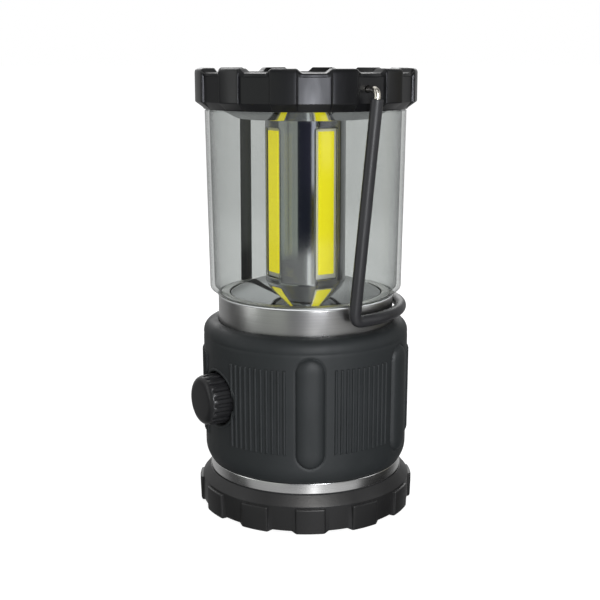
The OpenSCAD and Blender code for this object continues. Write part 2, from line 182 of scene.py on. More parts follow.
def moulded(name, colour, lighter, roughness, grain_mm, grain_depth, coat=0.0):
    """Rubber or plastic: fine moulded grain, uneven sheen and a faint bloom."""
    s = Shader(name)
    grain = s.noise(1000 / grain_mm, 2.0)
    patches = s.noise(45, 4.0)
    smears = s.noise(1.0, 3.0, s.stretched((90, 90, 25)))
    s.set(
        Base_Color=s.blend(s.spread(patches, 0, 1), colour, lighter),
        Roughness=s.spread(smears, roughness - 0.06, roughness + 0.07),
        Normal=s.bump(grain, grain_depth * MM, 1.0, s.bump(patches, 0.03 * MM)),
        Specular_IOR_Level=0.4,
        Coat_Weight=coat,
        Coat_Roughness=0.25,
    )
    return s.material


def steel(name, colour, roughness, along=(30, 30, 4200)):
    """Turned or drawn metal with fine lines."""
    s = Shader(name)
    lines = s.noise(1.0, 3.0, s.stretched(along))
    clouds = s.noise(60, 3.0)
    s.set(
        Base_Color=s.blend(s.spread(lines, 0, 1), colour, tuple(0.86 * c for c in colour)),
        Metallic=1.0,
        Roughness=s.spread(clouds, roughness - 0.04, roughness + 0.05),
        Normal=s.bump(lines, 0.012 * MM),
    )
    return s.material


def polished(name, colour, roughness):
    """Bright chrome with a slight orange peel."""
    s = Shader(name)
    peel = s.noise(120, 2.0)
    s.set(
        Base_Color=s.blend(s.spread(s.noise(30, 2.0), 0, 1), colour, tuple(0.95 * c for c in colour)),
        Metallic=1.0,
        Roughness=s.spread(peel, roughness * 0.7, roughness * 1.4),
        Normal=s.bump(peel, 0.01 * MM),
    )
    return s.material


def clear(name, tint, edge_tint, gloss_roughness=0.04):
    """Clear moulded plastic: light goes straight through and its edges look darker."""
    s = Shader(name)
    tree = s.tree
    tree.nodes.remove(s.bsdf)
    facing = s.node("ShaderNodeLayerWeight", Blend=0.5).outputs["Facing"]
    edge = s.node("ShaderNodeMath", {"operation": "POWER"}, i1=6.0)
    s.link(facing, edge.inputs[0])
    through = s.node("ShaderNodeBsdfTransparent")
    s.link(s.blend(edge.outputs[0], tint, edge_tint), through.inputs["Color"])
    shine = s.node("ShaderNodeBsdfGlossy", Color=(1, 1, 1, 1), Roughness=gloss_roughness)
    s.link(s.bump(s.noise(25, 2.0), 0.05 * MM), shine.inputs["Normal"])
    share = s.node("ShaderNodeMath", {"operation": "POWER"}, i1=5.0)
    s.link(facing, share.inputs[0])
    mix = s.node("ShaderNodeMixShader")
    s.link(s.spread(share.outputs[0], 0.035, 0.75, 0.0, 1.0), mix.inputs[0])
    s.link(through.outputs[0], mix.inputs[1])
    s.link(shine.outputs[0], mix.inputs[2])
    s.link(mix.outputs[0], tree.nodes["Material Output"].inputs["Surface"])
    return s.material


def led_coating(name):
    """Yellow silicone over a row of chips: soft gloss, fine grains and a painted glow that stands in for the
    light falling on the unlit strips.
    """
    s = Shader(name)
    cells = s.node("ShaderNodeTexVoronoi", Scale=1600.0)
    s.link(s.coords, cells.inputs["Vector"])
    grains = s.spread(cells.outputs["Distance"], 0, 1, 0.1, 0.7)
    colour = s.blend(grains, (0.93, 0.86, 0.015), (0.86, 0.74, 0.01))
    s.set(
        Base_Color=colour,
        Roughness=s.spread(s.noise(200, 2.0), 0.3, 0.42),
        # painted light: this emission brightens the unlit strips in place of the studio light that falls on
        # them
        Emission_Color=colour,
        Emission_Strength=0.75,
        Normal=s.bump(grains, 0.03 * MM),
    )
    return s.material


RUBBER = moulded("sleeve_rubber", (0.012, 0.0145, 0.0155), (0.017, 0.0195, 0.021), 0.56, 0.45, 0.035)
BLACK = moulded("black_plastic", (0.010, 0.010, 0.011), (0.014, 0.014, 0.015), 0.42, 0.55, 0.02)
CAP = moulded("cap_plastic", (0.0085, 0.0088, 0.010), (0.0115, 0.012, 0.013), 0.33, 0.55, 0.012)
BASE = moulded("base_plastic", (0.010, 0.010, 0.0105), (0.014, 0.014, 0.0145), 0.42, 0.8, 0.045)
KNOB = moulded("knob_plastic", (0.008, 0.008, 0.009), (0.012, 0.012, 0.013), 0.36, 0.6, 0.012)
STEEL = steel("brushed_steel", (0.50, 0.50, 0.495), 0.3)
BRIGHT_STEEL = steel("bright_band_steel", (0.85, 0.85, 0.85), 0.22)
CHROME = polished("mirror_chrome", (0.80, 0.81, 0.82), 0.05)
SATIN = steel("satin_ring", (0.50, 0.50, 0.49), 0.42, (60, 60, 900))
GLOBE = clear("clear_globe", (0.81, 0.82, 0.815), (0.25, 0.26, 0.26))
YELLOW = led_coating("phosphor")
WIRE = steel("hook_wire", (0.80, 0.76, 0.68), 0.22, (500, 500, 500))
BAIL = moulded("bail_sleeve", (0.020, 0.020, 0.022), (0.026, 0.026, 0.028), 0.36, 0.7, 0.008)

# the look of each slot, for the CAD nodes that keep their own meshes
SLOT_LOOKS = {
    "seal_rubber": moulded("seal_rubber", (0.02, 0.02, 0.021), (0.03, 0.03, 0.031), 0.6, 0.5, 0.02),
    "clear_seal": moulded("clear_seal", (0.62, 0.64, 0.64), (0.72, 0.73, 0.73), 0.3, 0.5, 0.01),
    "inner_plastic": moulded("inner_plastic", (0.05, 0.05, 0.053), (0.065, 0.065, 0.07), 0.5, 0.6, 0.015),
    "black_plastic": BLACK,
    "sleeve_rubber": RUBBER,
    "knob_plastic": KNOB,
    "brushed_steel": STEEL,
    "clear_globe": GLOBE,
    "mirror_chrome": CHROME,
    "phosphor": YELLOW,
    "bare_aluminium": steel("bare_aluminium", (0.62, 0.63, 0.64), 0.36, (2500, 2500, 20)),
    "board_white": moulded("board_white", (0.78, 0.78, 0.75), (0.84, 0.84, 0.81), 0.38, 0.8, 0.008, 0.3),
    "plated_steel": steel("plated_steel", (0.62, 0.60, 0.54), 0.25, (700, 700, 700)),
    "contact_brass": steel("contact_brass", (0.70, 0.55, 0.28), 0.28, (900, 900, 900)),
    "cell_jacket": moulded("cell_jacket", (0.10, 0.11, 0.13), (0.14, 0.15, 0.17), 0.32, 1.2, 0.006, 0.5),
    "board_green": moulded("board_green", (0.02, 0.11, 0.05), (0.03, 0.14, 0.07), 0.35, 0.9, 0.01, 0.4),
    "component_black": moulded("component_black", (0.03, 0.03, 0.03), (0.05, 0.05, 0.05), 0.45, 0.7, 0.01),
    "wire_red": moulded("wire_red", (0.42, 0.02, 0.02), (0.5, 0.03, 0.03), 0.4, 0.9, 0.008),
}

# ------------------------------------------------------------------ mesh helpers


def fillet(points, radii, steps=5):
    """A polyline with each corner rounded to its radius; a radius of 0 keeps the corner as one point."""
    out = []
    last = len(points) - 1
    for i, (point, radius) in enumerate(zip(points, radii)):
        p = np.array(point, float)
        if radius == 0 or i in (0, last):
            out.append(p)
            continue
        a, b = np.array(points[i - 1], float) - p, np.array(points[i + 1], float) - p
        la, lb = max(np.linalg.norm(a), 1e-9), max(np.linalg.norm(b), 1e-9)
        half = acos(max(-1.0, min(1.0, float(a @ b) / (la * lb)))) / 2
        t = min(radius / max(tan(half), 1e-3), 0.48 * la, 0.48 * lb)
        start, end = p + a / la * t, p + b / lb * t
        for k in range(steps + 1):
            s = k / steps
            out.append((1 - s) ** 2 * start + 2 * s * (1 - s) * p + s**2 * end)
    return np.array(out)


def arc(cx, cy, r, a0, a1, n=8):
    """Points of an arc in degrees."""
    return [
        (cx + r * cos(radians(a0 + (a1 - a0) * i / n)), cy + r * sin(radians(a0 + (a1 - a0) * i / n)))
        for i in range(n + 1)
    ]


def round_z(radii, heights, angles):
    """Points around the Z axis from (columns, rows) of radii and heights in mm, and each column's angle."""
    a = np.radians(np.asarray(angles, float))[:, None]
    return np.stack([radii * np.cos(a), radii * np.sin(a), heights + 0 * a], axis=2) * MM


def mesh_object(name, vertices, faces, sharp=32):
    """A smooth-shaded mesh that keeps the edges sharper than the angle in degrees."""
    mesh = bpy.data.meshes.new(name)
    mesh.from_pydata([tuple(v) for v in vertices], [], faces)
    bm = bmesh.new()
    bm.from_mesh(mesh)
    bmesh.ops.remove_doubles(bm, verts=bm.verts, dist=2e-6)
    bmesh.ops.dissolve_degenerate(bm, edges=bm.edges, dist=1e-6)
    bmesh.ops.recalc_face_normals(bm, faces=bm.faces)
    bm.to_mesh(mesh)
    bm.free()
    mesh.shade_smooth()
    mesh.set_sharp_from_angle(angle=radians(sharp))
    made = bpy.data.objects.new(name, mesh)
    scene.collection.objects.link(made)
    return made


def surface(name, points, wrap_columns=True, wrap_rows=True, sharp=32):
    """A mesh of quads through a (columns, rows, 3) array of points in metres."""
    columns, rows = points.shape[:2]
    u = np.arange(columns if wrap_columns else columns - 1)
    v = np.arange(rows if wrap_rows else rows - 1)
    uu, vv = (g.ravel() for g in np.meshgrid(u, v, indexing="ij"))
    un, vn = (uu + 1) % columns, (vv + 1) % rows
    faces = np.stack([uu * rows + vv, un * rows + vv, un * rows + vn, uu * rows + vn], axis=1)
    return mesh_object(name, points.reshape(-1, 3), faces.tolist(), sharp)


def turned(name, profile, radii=None, columns=192, sharp=32, wrap_rows=True):
    """A profile of (radius, height) in mm turned about Z."""
    p = fillet(profile, radii) if radii else np.array(profile, float)
    angles = np.arange(columns) * 360 / columns
    ones = np.ones((columns, 1))
    return surface(name, round_z(ones * p[:, 0], ones * p[:, 1], angles), True, wrap_rows, sharp)


def tube(name, path, radius, sides=20, end_round=0.0):
    """A round bar along a path of points in metres, with flat ends whose edges are rounded."""
    path = np.asarray(path, float)
    step = np.gradient(path, axis=0)
    step /= np.linalg.norm(step, axis=1)[:, None]
    u = np.cross(step[0], (0.0, 1.0, 0.3))
    rings = []
    turns = np.arange(sides) * 2 * pi / sides
    along = np.concatenate([[0], np.cumsum(np.linalg.norm(np.diff(path, axis=0), axis=1))])
    for p, w, s in zip(path, step, along):
        u = u - w * (u @ w)
        u /= np.linalg.norm(u)
        v = np.cross(w, u)
        d = min(s, along[-1] - s)
        r = radius
        if d < end_round:
            r = radius - end_round + sqrt(max(end_round**2 - (end_round - d) ** 2, 0))
        rings.append(p + r * (np.cos(turns)[:, None] * u + np.sin(turns)[:, None] * v))
    first, final = np.repeat(path[:1], sides, 0), np.repeat(path[-1:], sides, 0)
    return surface(name, np.array([first, *rings, final]), False, True, 40)


def bent(points, radii, pitch):
    """A 3-D polyline in metres with rounded bends, sampled no coarser than the pitch."""
    p = fillet(points, radii, 10)
    out = [p[0]]
    for q in p[1:]:
        n = max(1, int(np.ceil(np.linalg.norm(q - out[-1]) / pitch)))
        start = out[-1]
        out += [start + (q - start) * k / n for k in range(1, n + 1)]
    return np.array(out)


def cut(target, *cutters):
    """Takes the cutters out of the target for good."""
    for cutter in cutters:
        m = target.modifiers.new("cut", "BOOLEAN")
        m.operation = "DIFFERENCE"
        m.solver = "EXACT"
        m.object = cutter
    deps = bpy.context.evaluated_depsgraph_get()
    mesh = bpy.data.meshes.new_from_object(target.evaluated_get(deps))
    target.modifiers.clear()
    target.data = mesh
    for cutter in cutters:
        bpy.data.objects.remove(cutter)
    return target


def smooth_again(obj, angle=32):
    obj.data.shade_smooth()
    obj.data.set_sharp_from_angle(angle=radians(angle))


def dress(obj, material, slot, body, *nodes):
    """Gives a piece its material and its body, and hides the CAD nodes it stands for; the record slot passed
    in is not used.
    """
    obj.data.materials.clear()
    obj.data.materials.append(material)
    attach(obj, body)
    if nodes:
        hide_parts(*nodes)
    return obj


def span(node):
    """A CAD node's lowest and highest corner in mm."""
    low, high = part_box(node)
    return np.array(low) / MM, np.array(high) / MM


def radius_of(node):
    low, high = span(node)
    return (high[0] - low[0]) / 2


def lug_shares(angles, centres, width, radius, rounding):
    """How far each column belongs to a lug, 0 to 1, with rounded corners."""
    shares = []
    for a in angles:
        off = min(abs((a - c + 180) % 360 - 180) for c in centres)
        d = (off - width / 2) * pi / 180 * radius  # mm beyond the lug's edge
        if d >= 0.12:
            shares.append(0.0)
        elif d > 0:
            shares.append(0.25 * (1 - d / 0.12))
        elif d > -rounding:
            shares.append(0.25 + 0.75 * sqrt(1 - (1 + d / rounding) ** 2))
        else:
            shares.append(1.0)
    return np.array(shares)


def soft_shares(angles, centres, width, radius, reach):
    """The same for a lug's end, whose flanks slope away over a few mm."""
    shares = []
    for a in angles:
        off = min(abs((a - c + 180) % 360 - 180) for c in centres)
        d = (off - width / 2) * pi / 180 * radius
        t = min(1.0, max(0.0, (reach - d) / (reach + 0.6)))
        shares.append(t * t * (3 - 2 * t) * 0.35 + 0.65 * t)
    return np.array(shares)


def lug_angles(centres, width, radius, rounding):
    """Column angles: dense at each lug's edges, sparse elsewhere."""
    mm = 180 / pi / radius
    near = [2.4, 2.0, 1.6, 1.2, 0.8, 0.4, 0.12, 0.04, 0.0, -0.03, -0.1, -0.2, -0.35, -0.55, -0.8, -1.0]
    offsets = [0.0] + [width / 2 + s * (rounding if s < 0 else 1) * mm for s in near]
    offsets += [width / 6, width / 3, width / 2 + 4.5, width / 2 + 6.5]
    out = [c + sign * o for c in centres for o in offsets for sign in (-1, 1)]
    return np.unique(np.round(np.mod(out, 360), 3))


# ------------------------------------------------------------------ rubber sleeve

KNOB_ANGLE = -90
PAD_ANGLES = [KNOB_ANGLE + 60 * k for k in range(1, 6)]
GROUP_ANGLES = [KNOB_ANGLE + 30 + 60 * k for k in range(6)]
sleeve_low, sleeve_high = span("rubber_sleeve")
knob_low, knob_high = span("knob")
knob_z = (knob_low[2] + knob_high[2]) / 2
BODY_R = 49.4
NECK_R = radius_of("neck_ring")
PAD_PROUD, PAD_HALF, PAD_Z = 2.1, 6.45, (31.2, 82.7)
PAD_COLUMNS = np.arange(-8, 8.01, 0.4)  # mm sideways from a pad's middle
GROOVE_DEEP, GROOVE_OFF, GROOVE_WIDE = 0.32, 0.35, 0.42
RIDGE_PROUD, RIDGE_HALF, RIDGE_Z, RIDGE_STEP = 0.8, 0.725, (37.3, 77.3), 3.25
RIDGE_COLUMNS = (-1.3, -1, -0.9, -0.72, -0.4, 0, 0.4, 0.72, 0.9, 1, 1.3)  # in ridge half-widths
RIDGES = range(-5, 6)
LEAST_COLUMN_GAP = 0.07  # degrees
WAIST_Z = 30.5  # where the wall starts to draw in towards the band
CREASE_DEEP, CREASE_Z, CREASE_WIDE = 0.16, 84.7, 0.7
HOUSING_R = 45.65
RECESS_R, LIP_R, LIP_Y = 12.9, 13.8, 48.9
LIP_WIDE, LIP_PROUD = 0.72, 0.55


def sleeve_columns():
    """Angles of the sleeve's columns: one a degree, and more at the pads and ridges."""
    mm = 180 / pi / BODY_R
    out = list(np.arange(0, 360, 1.0))
    for c in PAD_ANGLES:
        out += [c + s * mm for s in PAD_COLUMNS]
    for c in GROUP_ANGLES:
        for k in RIDGES:
            middle = c + k * RIDGE_STEP
            out += [middle + u * RIDGE_HALF * mm for u in RIDGE_COLUMNS]
    out = np.unique(np.round(np.mod(out, 360), 2))
    keep = [out[0]]
    for a in out[1:]:
        if a - keep[-1] > LEAST_COLUMN_GAP:
            keep.append(a)
    return np.array(keep)


def sleeve_rows():
    """The sleeve's outer profile in three runs: its foot, its wall, and its shoulder up to the neck."""
    zs = [23.8, 24.4, 25.2, 26, 27, 28, 29.2, 30.2]
    zs += list(np.arange(30.8, 38.4, 0.42)) + [37.2, 37.45, 37.7, 38.0]
    zs += list(np.linspace(39.5, 74.5, 12)) + list(np.arange(75.4, 83.6, 0.42)) + [76.6, 76.9, 77.15, 77.4]
    zs += [84.0, 84.4, 84.8, 85.2, 85.6]
    low = arc(BODY_R - 12.2, WAIST_Z, 12.1, -37, 0, 24)
    r_at = [p[0] for p in low] + [BODY_R + 0.1, BODY_R + 0.2]
    z_at = [p[1] for p in low] + [60, 86.0]
    foot_z, lip_z = sleeve_low[2], sleeve_high[2]
    foot = [(46.3, foot_z), (46.7, foot_z + 0.1), (46.95, foot_z + 0.5)]
    wall = [(float(np.interp(z, z_at, r_at)), float(z)) for z in sorted(set(np.round(zs, 3)))]
    shoulder = arc(BODY_R - 4.9, 86.1, 5, 5, 84, 12)
    top = [(NECK_R + 1.2, 91.32), (NECK_R + 0.55, lip_z), (NECK_R + 0.2, 91.2), (NECK_R + 0.1, 90.9)]
    return foot, wall, shoulder + top


def sleeve_relief(angles, rows):
    """Height in mm over the plain sleeve: pads, their grooves, ridges and the shoulder's crease."""
    z = np.array([p[1] for p in rows])[None, :]
    a = np.asarray(angles)[:, None]
    relief = np.zeros((len(angles), len(rows)))
    pad_mid, pad_run = sum(PAD_Z) / 2, (PAD_Z[1] - PAD_Z[0]) / 2 - PAD_HALF
    for c in PAD_ANGLES:
        s = np.radians((a - c + 180) % 360 - 180) * BODY_R
        d = np.hypot(s, np.maximum(np.abs(z - pad_mid) - pad_run, 0))
        crown = PAD_PROUD * (1 - np.clip(d / PAD_HALF, 0, 1) ** 2.6) ** 0.6
        relief += crown - GROOVE_DEEP * np.exp(-(((d - PAD_HALF - GROOVE_OFF) / GROOVE_WIDE) ** 2))
    ridge_mid, ridge_run = sum(RIDGE_Z) / 2, (RIDGE_Z[1] - RIDGE_Z[0]) / 2 - RIDGE_HALF
    end = np.clip((np.abs(z - ridge_mid) - ridge_run) / RIDGE_HALF, 0, 1)
    for c in GROUP_ANGLES:
        for k in RIDGES:
            s = np.radians((a - c - k * RIDGE_STEP + 180) % 360 - 180) * BODY_R
            u = np.clip(np.abs(s) / RIDGE_HALF, 0, 1)
            relief += RIDGE_PROUD * np.sqrt(1 - u**2) * np.sqrt(1 - end**3)
    return relief - CREASE_DEEP * np.exp(-(((z - CREASE_Z) / CREASE_WIDE) ** 2))


def make_sleeve():
    angles = sleeve_columns()
    foot, wall, top = sleeve_rows()
    inner = [(NECK_R + 0.1, 89.6), (HOUSING_R, 85.4), (HOUSING_R, sleeve_low[2])]
    rows = foot + wall + top + inner
    r = np.array([p[0] for p in rows])[None, :] + np.zeros((len(angles), 1))
    z = np.array([p[1] for p in rows])[None, :] + np.zeros((len(angles), 1))
    n0, n1 = len(foot), len(foot) + len(wall)
    r[:, n0:n1] += sleeve_relief(angles, wall)
    made = surface("sleeve", round_z(r, z, angles), True, True, 38)
    near, far = 40, 62  # along the knob's axis, inside and outside the wall
    hole = turned(
        "recess",
        [(0, near), (RECESS_R, near), (RECESS_R, LIP_Y - 0.5), (LIP_R, LIP_Y), (LIP_R, far), (0, far)],
        [0, 0, 0.2, 0.3, 0, 0], 120,
    )
    hole.data.transform(knob_axis())
    cut(made, hole)
    smooth_again(made, 38)
    return dress(made, RUBBER, "sleeve_rubber", "lantern_body", "rubber_sleeve")


def knob_axis():
    """Turns a shape drawn along +Z so that it points along -Y at the knob's height."""
    return Matrix.Translation((0, 0, knob_z * MM)) @ Matrix.Rotation(radians(90), 4, "X")


def make_recess_lip(sides=96):
    """The ring of rubber that stands a little proud around the knob's recess and follows the body."""
    turns = (np.arange(12) * pi / 6)[:, None]
    rings = []
    for k in range(sides):
        t = 2 * pi * k / sides
        x, dz = (RECESS_R + 0.75) * cos(t), (RECESS_R + 0.75) * sin(t)
        middle = np.array((x, -(sqrt((BODY_R + 0.1) ** 2 - x**2) - 0.05), knob_z + dz)) * MM
        across = np.array((cos(t), 0, sin(t)))
        out = np.array((middle[0], middle[1], 0)) / hypot(middle[0], middle[1])
        rings.append(middle + (LIP_WIDE * np.cos(turns) * across + LIP_PROUD * np.sin(turns) * out) * MM)
    made = surface("recess_lip", np.array(rings), True, True, 60)
    return dress(made, RUBBER, "sleeve_rubber", "lantern_body")


make_sleeve()
make_recess_lip()

# ------------------------------------------------------------------ knob

KNOB_R = (knob_high[0] - knob_low[0]) / 2
knob_back, knob_front = -knob_high[1], -knob_low[1]
FLUTES, FLUTE_HALF, FLUTE_DEEP = 20, 0.95, 0.62
FLUTE_END, FLUTE_FADE = 1.6, 1.4


def make_knob():
    """The knob's grip: a rounded disc with flutes around its edge."""
    depth = knob_front - knob_back
    pitch = 360 / FLUTES
    mm = 180 / pi / KNOB_R
    offsets = [0, 0.25, 0.5, 0.7, 0.85, 0.96, 1.1]
    angles = np.unique(np.round(np.mod(
        [k * pitch + sign * o * FLUTE_HALF * mm for k in range(FLUTES) for o in offsets for sign in (-1, 1)]
        + [(k + 0.5) * pitch for k in range(FLUTES)], 360), 3))
    profile = fillet(
        [(0, 0), (KNOB_R - 1.2, 0), (KNOB_R, 0), (KNOB_R, 2.2), (KNOB_R - 0.3, depth), (2.5, depth - 0.02),
         (0, depth)],
        [0, 0, 0.5, 0.3, 4.1, 0, 0], 10)
    r = profile[:, 0][None, :] + np.zeros((len(angles), 1))
    z = profile[:, 1][None, :] + np.zeros((len(angles), 1))
    off = np.abs((angles + pitch / 2) % pitch - pitch / 2) / mm
    flute = FLUTE_DEEP * np.sqrt(np.clip(1 - (off / FLUTE_HALF) ** 2, 0, 1))
    # the flutes fade out into the rounded front edge
    reach = np.clip((depth - FLUTE_END - profile[:, 1]) / FLUTE_FADE, 0, 1) * (profile[:, 0] > KNOB_R - 2.5)
    r -= flute[:, None] * reach[None, :]
    made = surface("knob_grip", round_z(r, z + knob_back, angles), True, False, 50)
    made.data.transform(knob_axis())
    return dress(made, KNOB, "knob_plastic", "dimmer_knob", "knob")


make_knob()

# ------------------------------------------------------------------ cap

cap_low, cap_high = span("top_cap")
LUG_COUNT = 12
LUG_STEP = 360 // LUG_COUNT
CAP_TURN = 1.8  # degrees from the bail's pivot to the middle of its gap
CAP_LUGS = [LUG_STEP / 2 + CAP_TURN + LUG_STEP * k for k in range(LUG_COUNT)]
BASE_LUGS = [LUG_STEP * k for k in range(LUG_COUNT)]
CAP_R, CAP_LUG_WIDE, CAP_ROUNDING = 52.1, 13.5, 0.7
CAP_GAP_R = CAP_R - 1.3
CAP_BORE_R, CAP_WALL_R, CAP_DECK_Z = 46.15, 42.6, 198.45
FLAT_Z, LUG_BOTTOM_Z, CROWN_Z = 206.7, 195.4, 206
PIVOT_Z, PIVOT_R = 201.7, 1.6


def make_cap():
    """The cap: a gap's profile and a lug's, each vertical column a share of one and the other."""
    z0, top = cap_low[2], cap_high[2]
    rim = top - 2
    angles = lug_angles(CAP_LUGS, CAP_LUG_WIDE, CAP_R, CAP_ROUNDING)
    shares = lug_shares(angles, CAP_LUGS, CAP_LUG_WIDE, CAP_R, CAP_ROUNDING)
    crown_shares = soft_shares(angles, CAP_LUGS, CAP_LUG_WIDE, CAP_R, 2.2)
    foot = [(CAP_BORE_R, z0), (47.7, z0), (48, z0 + 0.5)]
    inner = [(43.6, rim - 1.5), (0, rim - 1.5), (0, rim - 5), (CAP_WALL_R, rim - 5),
             (CAP_WALL_R, CAP_DECK_Z), (CAP_BORE_R, CAP_DECK_Z)]
    columns = []
    for a, share, crown_share in zip(angles, shares, crown_shares):
        off = radians((a - CAP_TURN + LUG_STEP / 2) % LUG_STEP - LUG_STEP / 2)
        flat = min((CAP_GAP_R - 0.45) / cos(off), CAP_GAP_R)
        gap = [*foot, (flat, LUG_BOTTOM_Z), (flat, FLAT_Z), (CAP_GAP_R, FLAT_Z + 0.25),
               (CAP_GAP_R, rim), (45, rim), (44.2, rim), *inner]
        lug = [*foot, (CAP_R, LUG_BOTTOM_Z), (CAP_R, 202), (CAP_R, CROWN_Z),
               (CAP_R, top), (45.6, top), (44.5, rim), *inner]
        gap_r = [0, 0.35, 0.3, 0.6, 0.12, 0.12, 1.3, 0.4, 0.4, 0.2, 0, 0, 0, 0, 0]
        lug_r = [0, 0.35, 0.3, 0.8, 0.4, 0.4, 3.0, 0.7, 0.6, 0.2, 0, 0, 0, 0, 0]
        one, other = fillet(gap, gap_r, 6), fillet(lug, lug_r, 6)
        crown = np.clip((other[:, 1] - CROWN_Z) / 2.5, 0, 1)[:, None]
        t = (1 - crown) * share + crown * crown_share
        columns.append((1 - t) * one + t * other)
    c = np.array(columns)
    made = surface("cap", round_z(c[:, :, 0], c[:, :, 1], angles), True, True, 40)
    holes = []
    for sign in (-1, 1):
        near, far = 40, 54  # along the hole's axis, inside and outside the wall
        hole = turned(
            "pivot",
            [(0, near), (PIVOT_R, near), (PIVOT_R, 50.1), (PIVOT_R + 0.25, 50.5),
             (PIVOT_R + 0.25, far), (0, far)],
            None, 40,
        )
        turn = Matrix.Translation((0, 0, PIVOT_Z * MM)) @ Matrix.Rotation(radians(90 * sign), 4, "Y")
        hole.data.transform(turn)
        holes.append(hole)
    cut(made, *holes)
    smooth_again(made, 40)
    return dress(made, CAP, "black_plastic", "lantern_body", "top_cap")


make_cap()

cover_low, cover_high = span("cap_cover")
cover_r = radius_of("cap_cover")
cover_top = cover_high[2]
PANEL_RIM, PANEL_DEEP = 2.4, 0.35
dress(
    turned(
        "cap_panel",
        [(0, cover_low[2]), (cover_r, cover_low[2]), (cover_r, cover_top), (cover_r - PANEL_RIM, cover_top),
         (cover_r - PANEL_RIM - 1, cover_top - PANEL_DEEP), (0, cover_top - PANEL_DEEP)],
        [0, 0.2, 0.8, 0.3, 0.3, 0], 144, 40, False,
    ),
    BLACK, "black_plastic", "lantern_body", "cap_cover",
)

# ------------------------------------------------------------------ base

BASE_R, BASE_GAP_R, BASE_LUG_WIDE, BASE_ROUNDING = 52.6, 51.1, 15.5, 0.9
BASE_EDGE_Z, BASE_TOP_Z, BASE_STEP_Z, BASE_FLOOR_Z = 13.2, 17.6, 16.65, 4.6
BASE_TOP_R, BASE_STEP_R, BASE_BORE_R = 47.3, 46.85, 45.3
FOOT_IN_R, FOOT_OUT_R, UNDERSIDE_Z = 44, 48, 2.4
LUG_TOP_Z = 12.3


def make_base():
    """The base, made like the cap; the lugs stand on the ground beside the ring of the foot."""
    angles = lug_angles(BASE_LUGS, BASE_LUG_WIDE, BASE_R, BASE_ROUNDING)
    shares = lug_shares(angles, BASE_LUGS, BASE_LUG_WIDE, BASE_R, BASE_ROUNDING)
    head = [(BASE_GAP_R, BASE_EDGE_Z), (BASE_TOP_R, BASE_TOP_Z), (BASE_STEP_R, BASE_TOP_Z),
            (BASE_STEP_R, BASE_STEP_Z), (BASE_BORE_R, BASE_STEP_Z), (BASE_BORE_R, BASE_FLOOR_Z),
            (0, BASE_FLOOR_Z)]
    foot = [(0, UNDERSIDE_Z), (FOOT_IN_R - 4, UNDERSIDE_Z), (FOOT_IN_R, 0), (FOOT_OUT_R, 0)]
    gap = [*foot, (FOOT_OUT_R + 0.6, 1.1), (BASE_GAP_R, 1.1), (BASE_GAP_R, 11.3),
           (BASE_GAP_R, 11.9), (BASE_GAP_R, 12.2), *head]
    lug = [*foot, (FOOT_OUT_R + 1, 0), (BASE_R - 0.3, 0), (BASE_R, 9), (BASE_R, LUG_TOP_Z),
           (BASE_GAP_R, LUG_TOP_Z), *head]
    head_r = [0.6, 0.35, 0, 0, 0, 0, 0]
    gap_r = [0, 0.5, 0.8, 0.5, 0.2, 1.2, 0.1, 0.1, 0.1, *head_r]
    lug_r = [0, 0.5, 0.8, 0.5, 0.2, 3.0, 0.1, 0.75, 0.1, *head_r]
    one, other = fillet(gap, gap_r, 6), fillet(lug, lug_r, 6)
    low_shares = soft_shares(angles, BASE_LUGS, BASE_LUG_WIDE, BASE_R, 2.0)
    low_part = np.clip((3.2 - other[:, 1]) / 2.6, 0, 1)[:, None]
    columns = []
    for share, low_share in zip(shares, low_shares):
        t = (1 - low_part) * share + low_part * low_share
        columns.append((1 - t) * one + t * other)
    c = np.array(columns)
    made = surface("screw_base", round_z(c[:, :, 0], c[:, :, 1], angles), True, False, 40)
    return dress(made, BASE, "black_plastic", "base", "base_cap")


make_base()

# ------------------------------------------------------------------ steel rings

neck_low, neck_high = span("neck_ring")
neck_top = neck_high[2]
NECK_WALL, NECK_LIP, NECK_SHEET = 1.05, 3.4, 0.75
dress(
    turned(
        "neck",
        [(NECK_R - NECK_WALL, neck_low[2]), (NECK_R, neck_low[2]), (NECK_R, neck_top),
         (NECK_R - NECK_LIP, neck_top), (NECK_R - NECK_LIP, neck_top - NECK_SHEET),
         (NECK_R - NECK_WALL, neck_top - NECK_SHEET)],
        [0, 0.2, 0.7, 0.2, 0, 0], 192,
    ),
    STEEL, "brushed_steel", "lantern_body", "neck_ring",
)
band_low, band_high = span("lower_band")
band_r = radius_of("lower_band")
dress(
    turned(
        "band",
        [(HOUSING_R, band_low[2]), (band_r, band_low[2]), (band_r, band_high[2]), (HOUSING_R, band_high[2])],
        [0, 0.35, 0.35, 0], 192,
    ),
    BRIGHT_STEEL, "brushed_steel", "lantern_body", "lower_band",
)

# ------------------------------------------------------------------ globe

globe_low, globe_high = span("globe")
globe_r = radius_of("globe")
globe_foot, globe_top = globe_low[2], globe_high[2]
GLOBE_WALL, GLOBE_TAPER = 2.1, 1.25
GLOBE_SEAT_R, GLOBE_HOLE_R = 42.5, 41.3
GLOBE_SPIGOT_R, GLOBE_MOUTH_R = 46, 43.9
outside = [(GLOBE_HOLE_R, globe_foot), (GLOBE_SEAT_R, globe_foot), (GLOBE_SEAT_R, globe_foot + 0.5),
           (globe_r - GLOBE_TAPER, globe_foot + 3.1), (globe_r, 191.1), (GLOBE_SPIGOT_R, 191.8),
           (GLOBE_SPIGOT_R, globe_top)]
inside = [(GLOBE_MOUTH_R, globe_top), (GLOBE_MOUTH_R, 193), (globe_r - GLOBE_WALL, 190.4),
          (globe_r - GLOBE_TAPER - GLOBE_WALL, globe_foot + 4), (GLOBE_HOLE_R, globe_foot + 1.4)]
dress(
    turned("clear_globe", outside + inside, [0.2, 0.2, 0.2, 1.6, 0.4, 0.2, 0.3, 0.3, 0.2, 1.0, 1.6, 0.2], 256),
    GLOBE, "clear_globe", "lantern_body", "globe",
)

# ------------------------------------------------------------------ reflectors and light column

